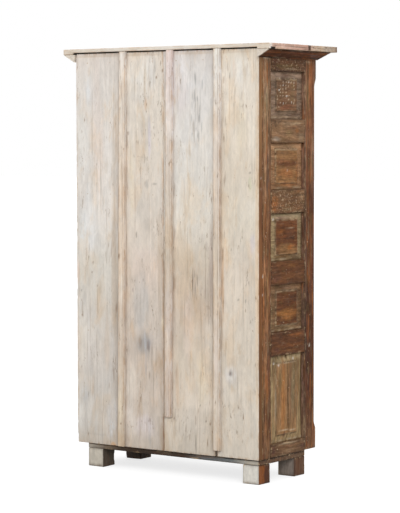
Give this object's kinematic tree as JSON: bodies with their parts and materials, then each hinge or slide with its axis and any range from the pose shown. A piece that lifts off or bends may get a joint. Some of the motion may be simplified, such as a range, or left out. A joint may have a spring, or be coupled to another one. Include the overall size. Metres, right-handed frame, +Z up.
{
  "type": "storage cabinet",
  "caption": "Tall free-standing cupboard with a plank back, panelled sides and doors, a moulded cornice and a low base on block feet.",
  "frame": {"origin": "on the floor, under the middle of the cabinet's overall box", "axes": "+Z up; the doors face -Y and the plank back faces +Y; -X is the left side seen from the front"},
  "size_m": [1.178, 0.565, 1.98],
  "materials": {
    "whitewashed_pine": "worn whitewash over softwood",
    "top_pine": "worn whitewash over softwood",
    "cornice_wood": "dark waxed wood",
    "post_wood": "waxed reddish-brown wood",
    "rail_wood": "worn brown wood with old paint flecks",
    "panel_wood": "worn wood with old olive paint",
    "base_wood": "mixed salvaged wood",
    "inside_pine": "bare aged softwood",
    "door_wood": "worn waxed wood",
    "wrought_iron": "forged, dark and slightly rusted",
    "nail_iron": "rusted nail heads"
  },
  "bodies": {
    "root": {"back_plank_1": "whitewashed_pine", "back_plank_2": "whitewashed_pine", "back_plank_3": "whitewashed_pine", "back_plank_4": "whitewashed_pine", "back_batten_1": "whitewashed_pine", "back_batten_2": "whitewashed_pine", "back_batten_3": "whitewashed_pine", "top_board_rear": "top_pine", "top_board_front": "top_pine", "cornice_left": "cornice_wood", "cornice_right": "cornice_wood", "cornice_front": "cornice_wood", "front_post_left": "post_wood", "front_post_right": "post_wood", "rear_stile_left": "post_wood", "rear_stile_right": "post_wood", "left_top_rail": "rail_wood", "left_rail_1": "rail_wood", "left_rail_2": "rail_wood", "left_rail_3": "rail_wood", "left_rail_4": "rail_wood", "left_bottom_rail": "rail_wood", "right_side_rails": "rail_wood", "front_top_rail": "rail_wood", "front_bottom_rail": "rail_wood", "left_panel_1": "panel_wood", "left_panel_2": "panel_wood", "left_panel_3": "panel_wood", "left_panel_4": "panel_wood", "left_tall_panel": "panel_wood", "right_side_panels": "panel_wood", "base_board": "base_wood", "foot_rear_left": "base_wood", "foot_rear_right": "base_wood", "foot_front_left": "base_wood", "foot_front_right": "base_wood", "bottom_board": "inside_pine", "lower_shelf": "inside_pine", "upper_shelf": "inside_pine", "shelf_cleats": "inside_pine", "rear_top_rail": "inside_pine", "hinge_pintles": "wrought_iron", "back_nails": "nail_iron"},
    "left_door": {"left_door_hinge_stile": "door_wood", "left_door_meeting_stile": "door_wood", "left_door_rails": "door_wood", "left_door_panels": "door_wood", "left_door_straps": "wrought_iron", "left_door_staples": "wrought_iron"},
    "right_door": {"right_door_hinge_stile": "door_wood", "right_door_meeting_stile": "door_wood", "right_door_rails": "door_wood", "right_door_panels": "door_wood", "right_door_straps": "wrought_iron", "right_door_staples": "wrought_iron"},
    "left_pull": {"left_pull_ring": "wrought_iron"},
    "right_pull": {"right_pull_ring": "wrought_iron"},
    "latch_bolt": {"latch_bolt": "wrought_iron"}
  },
  "joints": [
    {"name": "left_door_hinge", "type": "hinge", "parent": "root", "child": "left_door", "pos_m": [-0.4285, -0.215, 1], "axis": [0, 0, -1], "range_deg": [0, 165]},
    {"name": "right_door_hinge", "type": "hinge", "parent": "root", "child": "right_door", "pos_m": [0.4285, -0.215, 1], "axis": [0, 0, 1], "range_deg": [0, 165]},
    {"name": "left_pull_swing", "type": "hinge", "parent": "left_door", "child": "left_pull", "pos_m": [-0.0405, -0.21775, 1.13], "axis": [-1, 0, 0], "range_deg": [0, 80]},
    {"name": "right_pull_swing", "type": "hinge", "parent": "right_door", "child": "right_pull", "pos_m": [0.0405, -0.21775, 1.13], "axis": [-1, 0, 0], "range_deg": [0, 80]},
    {"name": "latch_slide", "type": "slide", "parent": "left_door", "child": "latch_bolt", "axis": [1, 0, 0], "range_m": [0, 0.0338]}
  ]
}
